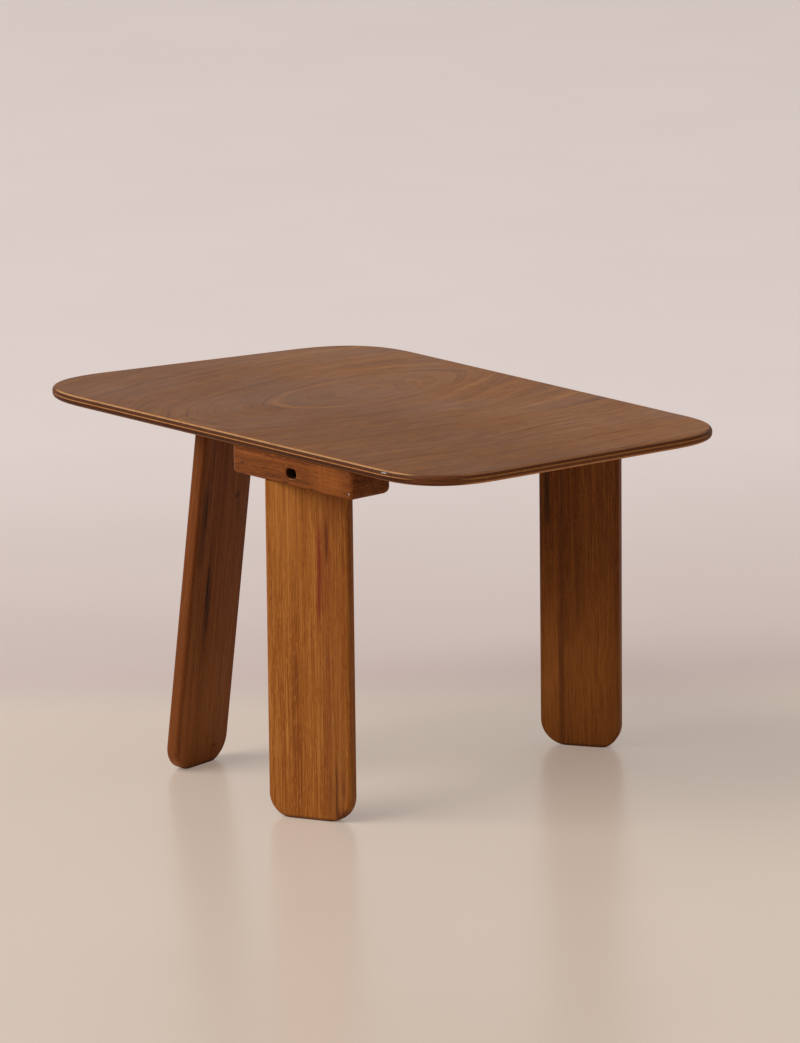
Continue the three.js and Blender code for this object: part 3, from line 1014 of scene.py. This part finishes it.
def leg_board(station):
    half = station["leg_width"] / 2
    length = top_height + overrun
    size = (station["leg_width"], leg_thickness, length)
    piece = block(station["name"] + "_leg_board", size, (0, 0, length / 2))
    for vertex in piece.data.vertices:
        if vertex.co.z < hair:
            vertex.co.z = -station["foot_trims"][int(vertex.co.x > 0)]
    for side, radius in zip((-half, half), station["foot_radii"]):

        def at_foot_corner(edge):
            low = edge.verts[0].co.z < length / 2
            return low and ends_near(edge, 0, side) and not spans(edge, 2)

        round_edges(piece, radius, foot_steps, at_foot_corner)
    round_edges(piece, leg_edge_radius, leg_edge_steps, lambda edge: ends_out(edge, 1, leg_thickness / 2))
    piece.data.transform(leg_frame(station))

    under_panel = panel_underside - fit_gap
    shoulder = under_panel - station["cleat_height"]
    cut_level(piece, 0, "above")
    cut_level(piece, under_panel if station["straddles"] else shoulder, "below")
    if station["straddles"]:
        room_height = station["cleat_height"] + 2 * fit_gap + overrun
        room_size = (cleat_length + 2 * fit_gap, cleat_depth + 2 * fit_gap, room_height)
        room_middle = (0, 0, (room_height - station["cleat_height"]) / 2 - fit_gap)
        take_away(piece, block("cleat_room", room_size, room_middle, cleat_frame(station)))
    tenon = block("tenon", (tenon_width, tenon_thickness, 1.0), (0, 0, 0.5), leg_frame(station))
    cut_level(tenon, shoulder - leg_thickness, "above")
    cut_level(tenon, under_panel, "below")
    apply_modifier(piece, "BOOLEAN", operation="UNION", object=tenon, solver="EXACT")
    bpy.data.objects.remove(tenon)
    take_away(piece, rod("hole", pin_hole_radius, cleat_depth + overrun, cross_hole_frame(station)))
    face_outwards(piece)
    smooth(piece)
    return piece


# Painted contact shade: the lowest few millimetres of each leg darker, where it stands on the floor
foot_shade_height = 0.005
painted_foot_shade = (0.045, 0.014, 0.005, 1)
foot_shade_strength = 0.75
knot_strength = 0.6
leg_grain = {"Band Scale": 90.0, "Line Scale": 520.0, "Wander": 0.004, "Pores": 0.55, "Pore Scale": 800.0}
leg_finishes = {
    "front": {
        "tones": {
            "Pale": (0.40, 0.158, 0.033, 1),
            "Middle": (0.270, 0.082, 0.010, 1),
            "Dark": (0.165, 0.041, 0.005, 1),
        },
        "stripes": [
            (-0.024, 0.0300, 0.18, 0.50, 0.15, (0.42, 0.165, 0.032, 1), 0.4),
            (0.030, 0.0220, -0.10, 0.50, 0.05, (0.20, 0.054, 0.010, 1), 0.5),
            (0.0190, 0.0100, 0.200, 0.345, 0.05, (0.19, 0.040, 0.009, 1), 0.6),
            (0.0143, 0.0034, 0.190, 0.325, 0.04, (0.16, 0.021, 0.009, 1), 0.85),
            (0.0228, 0.0032, 0.265, 0.335, 0.03, (0.08, 0.019, 0.006, 1), 0.75),
            (0.0235, 0.0035, -0.01, 0.220, 0.05, (0.17, 0.040, 0.008, 1), 0.55),
            (0.0318, 0.0018, -0.01, 0.075, 0.03, (0.04, 0.011, 0.004, 1), 0.85),
            (0.036, 0.0018, -0.01, 0.20, 0.06, (0.40, 0.17, 0.05, 1), 0.4),
            # Painted shade at the round corner of the foot
            (0.0370, 0.0100, -0.01, 0.020, 0.015, (0.060, 0.013, 0.008, 1), 0.75),
            (0.0400, 0.0040, 0.010, 0.060, 0.03, (0.070, 0.018, 0.006, 1), 0.6),
        ],
        "knots": [],
    },
    "back": {
        "tones": {
            "Pale": (0.240, 0.076, 0.011, 1),
            "Middle": (0.155, 0.041, 0.004, 1),
            "Dark": (0.085, 0.019, 0.002, 1),
        },
        "stripes": [
            # Painted light and shade: the whole board paler towards the foot and darker up under the top
            (0.0, 0.0900, -0.10, 0.26, 0.26, (0.42, 0.145, 0.028, 1), 0.75),
            (-0.0325, 0.0115, -0.02, 0.20, 0.12, (0.36, 0.115, 0.022, 1), 0.55),
            (-0.0200, 0.0045, -0.01, 0.42, 0.02, (0.080, 0.019, 0.005, 1), 0.65),
            (0.0, 0.0060, 0.12, 0.26, 0.05, (0.085, 0.021, 0.004, 1), 0.5),
            (-0.0355, 0.0050, 0.245, 0.345, 0.03, (0.030, 0.009, 0.002, 1), 0.9),
        ],
        "knots": [],
    },
    "left": {
        "tones": {
            "Pale": (0.280, 0.090, 0.020, 1),
            "Middle": (0.185, 0.051, 0.008, 1),
            "Dark": (0.105, 0.026, 0.004, 1),
        },
        "stripes": [
            # Painted light and shade: the whole board paler towards the foot and darker up under the top
            (0.0, 0.0900, -0.10, 0.20, 0.20, (0.32, 0.105, 0.024, 1), 0.6),
            # Painted shade along the left edge, where the narrow side faces the lamp
            (-0.0442, 0.0060, -0.10, 0.50, 0.05, (0.14, 0.035, 0.006, 1), 0.7),
            (-0.0350, 0.0060, -0.10, 0.24, 0.05, (0.31, 0.100, 0.020, 1), 0.4),
            (-0.033, 0.0070, 0.22, 0.34, 0.03, (0.075, 0.021, 0.006, 1), 0.7),
            (-0.0305, 0.0016, 0.270, 0.316, 0.006, (0.006, 0.003, 0.002, 1), 1.0),
            (-0.0150, 0.0080, 0.130, 0.250, 0.06, (0.055, 0.015, 0.007, 1), 0.8),
            (-0.0165, 0.0016, 0.175, 0.235, 0.01, (0.006, 0.003, 0.002, 1), 1.0),
            (-0.0120, 0.0012, 0.150, 0.185, 0.01, (0.010, 0.004, 0.002, 1), 0.8),
        ],
        "knots": [
            ((0.0209, 0, 0.303), 0.0042, (0.060, 0.014, 0.005, 1)),
            ((0.0200, 0, 0.020), 0.0028, (0.060, 0.016, 0.006, 1)),
        ],
    },
}

for station in stations:
    piece = leg_board(station)
    name = station["name"] + "_leg"
    finish = leg_finishes[station["name"]]
    material, tree, shader = new_material(name + "_finish")
    along_board = board_space(tree, leg_frame(station))
    grain = place_group(tree, board_grain, {"Vector": along_board, **leg_grain, **finish["tones"]})
    color = lay_stripes(tree, grain["Color"], along_board, finish["stripes"])
    for point, radius, knot_color in finish["knots"]:
        on_face = stretch(tree, along_board, (1, 0, 1))
        knot = place_group(tree, chip, {"Vector": on_face, "Point": point, "Radius": radius})["Mask"]
        color = blend(tree, times(tree, knot, knot_strength), color, knot_color)
    # Painted contact shade at the foot
    height_here = axes_of(tree, object_place(tree))["Z"]
    foot_shade_share = ease(tree, height_here, 0.0, foot_shade_height, foot_shade_strength, 0.0)
    dress(shader, blend(tree, foot_shade_share, color, painted_foot_shade), grain, wood_relief, dull_sheen)
    fit(piece, name, material)

# Cross pins
# Plain hardwood dowels, driven through cleat and tenon and set back deep in the hole.
# Their ends are slightly rounded.

pin_radius = pin_hole_radius - fit_gap
pin_end = cleat_depth / 2 - pin_recess
pin_end_radius = 0.0008
pin_end_steps = 3
pin_grain = {
    "Pale": (0.30, 0.17, 0.075, 1),
    "Middle": (0.22, 0.115, 0.048, 1),
    "Dark": (0.12, 0.058, 0.022, 1),
    "Band Scale": 300.0,
    "Line Scale": 900.0,
    "Wander": 0.002,
    "Pores": 0.6,
    "Pore Scale": 1500.0,
}
pin_relief = 0.0001
grain_along_pin = Matrix.Rotation(-math.pi / 2, 4, "X")

pin = rod("pin", pin_radius, 2 * pin_end)
round_edges(pin, pin_end_radius, pin_end_steps, lambda edge: ends_out(edge, 1, pin_end))
for station in stations:
    piece = copy_of(pin, station["name"] + "_dowel")
    piece.data.transform(cross_hole_frame(station))
    face_outwards(piece)
    smooth(piece)
    name = station["name"] + "_pin"
    material, tree, shader = new_material(name + "_finish")
    along_pin = board_space(tree, cross_hole_frame(station) @ grain_along_pin)
    grain = place_group(tree, board_grain, {"Vector": along_pin, **pin_grain})
    dress(shader, grain["Color"], grain, pin_relief)
    fit(piece, name, material)
bpy.data.objects.remove(pin)

# Screws
# Countersunk steel wood screws with a straight slot, two in each cleat, driven up into the panel.
# Zinc-plated, with fine turning marks round the head.

screw_bite = 0.0072
screw_tip_length = 0.005
screw_slot_width = 0.0012
screw_slot_depth = 0.0013
tip_share = 0.08
bright_steel = (0.66, 0.65, 0.61, 1)
dull_steel = (0.42, 0.40, 0.36, 1)
steel_relief = 0.00003


def screw_body(name, length):
    piece = tapered(name, screw_head_radius, screw_radius, screw_head_height)
    shape_mode(piece, "FACE")
    pick(piece, "faces", lambda face: face.normal.z > 0.9)
    pull_up(length - screw_head_height - screw_tip_length)
    pull_up(screw_tip_length)
    bpy.ops.transform.resize(value=(tip_share, tip_share, 1))
    object_mode()
    take_away(piece, block("slot", (3 * screw_head_radius, screw_slot_width, 2 * screw_slot_depth)))
    face_outwards(piece)
    smooth(piece)
    return piece


def bore_plies(at):
    """Takes the room of one screw out of the plies that it bites into."""
    place = at.to_translation()
    at = Matrix.Translation((place.x, place.y, 0))
    low = panel_underside - overrun
    high = panel_underside + screw_bite + fit_gap
    ply_low = panel_underside
    for name, thickness, finish in ply_thicknesses:
        if ply_low < high:
            ply = bpy.data.objects[name + "_sheet"]
            take_away(ply, upright_rod("bore", screw_radius + fit_gap, low, high, at))
            smooth(ply)
        ply_low += thickness


tree, given, result = new_group("turned_steel", {"Vector": None}, ["Color", "Roughness", "Height"])
spot = axes_of(tree, given["Vector"])
marks = mottle(tree, place_from(tree, distance(tree, spot["X"], spot["Y"]), spot["Z"]), (6000, 2500, 1))
tarnish = mottle(tree, given["Vector"], (500, 500, 500), detail=3.0)
steel = blend(tree, ease(tree, tarnish, 0.4, 0.7), bright_steel, dull_steel)
feed(result, {"Color": steel, "Roughness": ease(tree, tarnish, 0.3, 0.7, 0.28, 0.5), "Height": marks})
turned_steel = tree

for station in stations:
    length = station["cleat_height"] - screw_sink + screw_bite
    for number, at in enumerate(screw_places(station), 1):
        name = f"{station['name']}_screw_{number}"
        bore_plies(at)
        piece = screw_body(name + "_body", length)
        piece.data.transform(at)
        material, tree, shader = new_material(name + "_finish", metallic=1.0)
        pattern = place_group(tree, turned_steel, {"Vector": board_space(tree, at)})
        dress(shader, pattern["Color"], pattern, steel_relief)
        fit(piece, name, material)
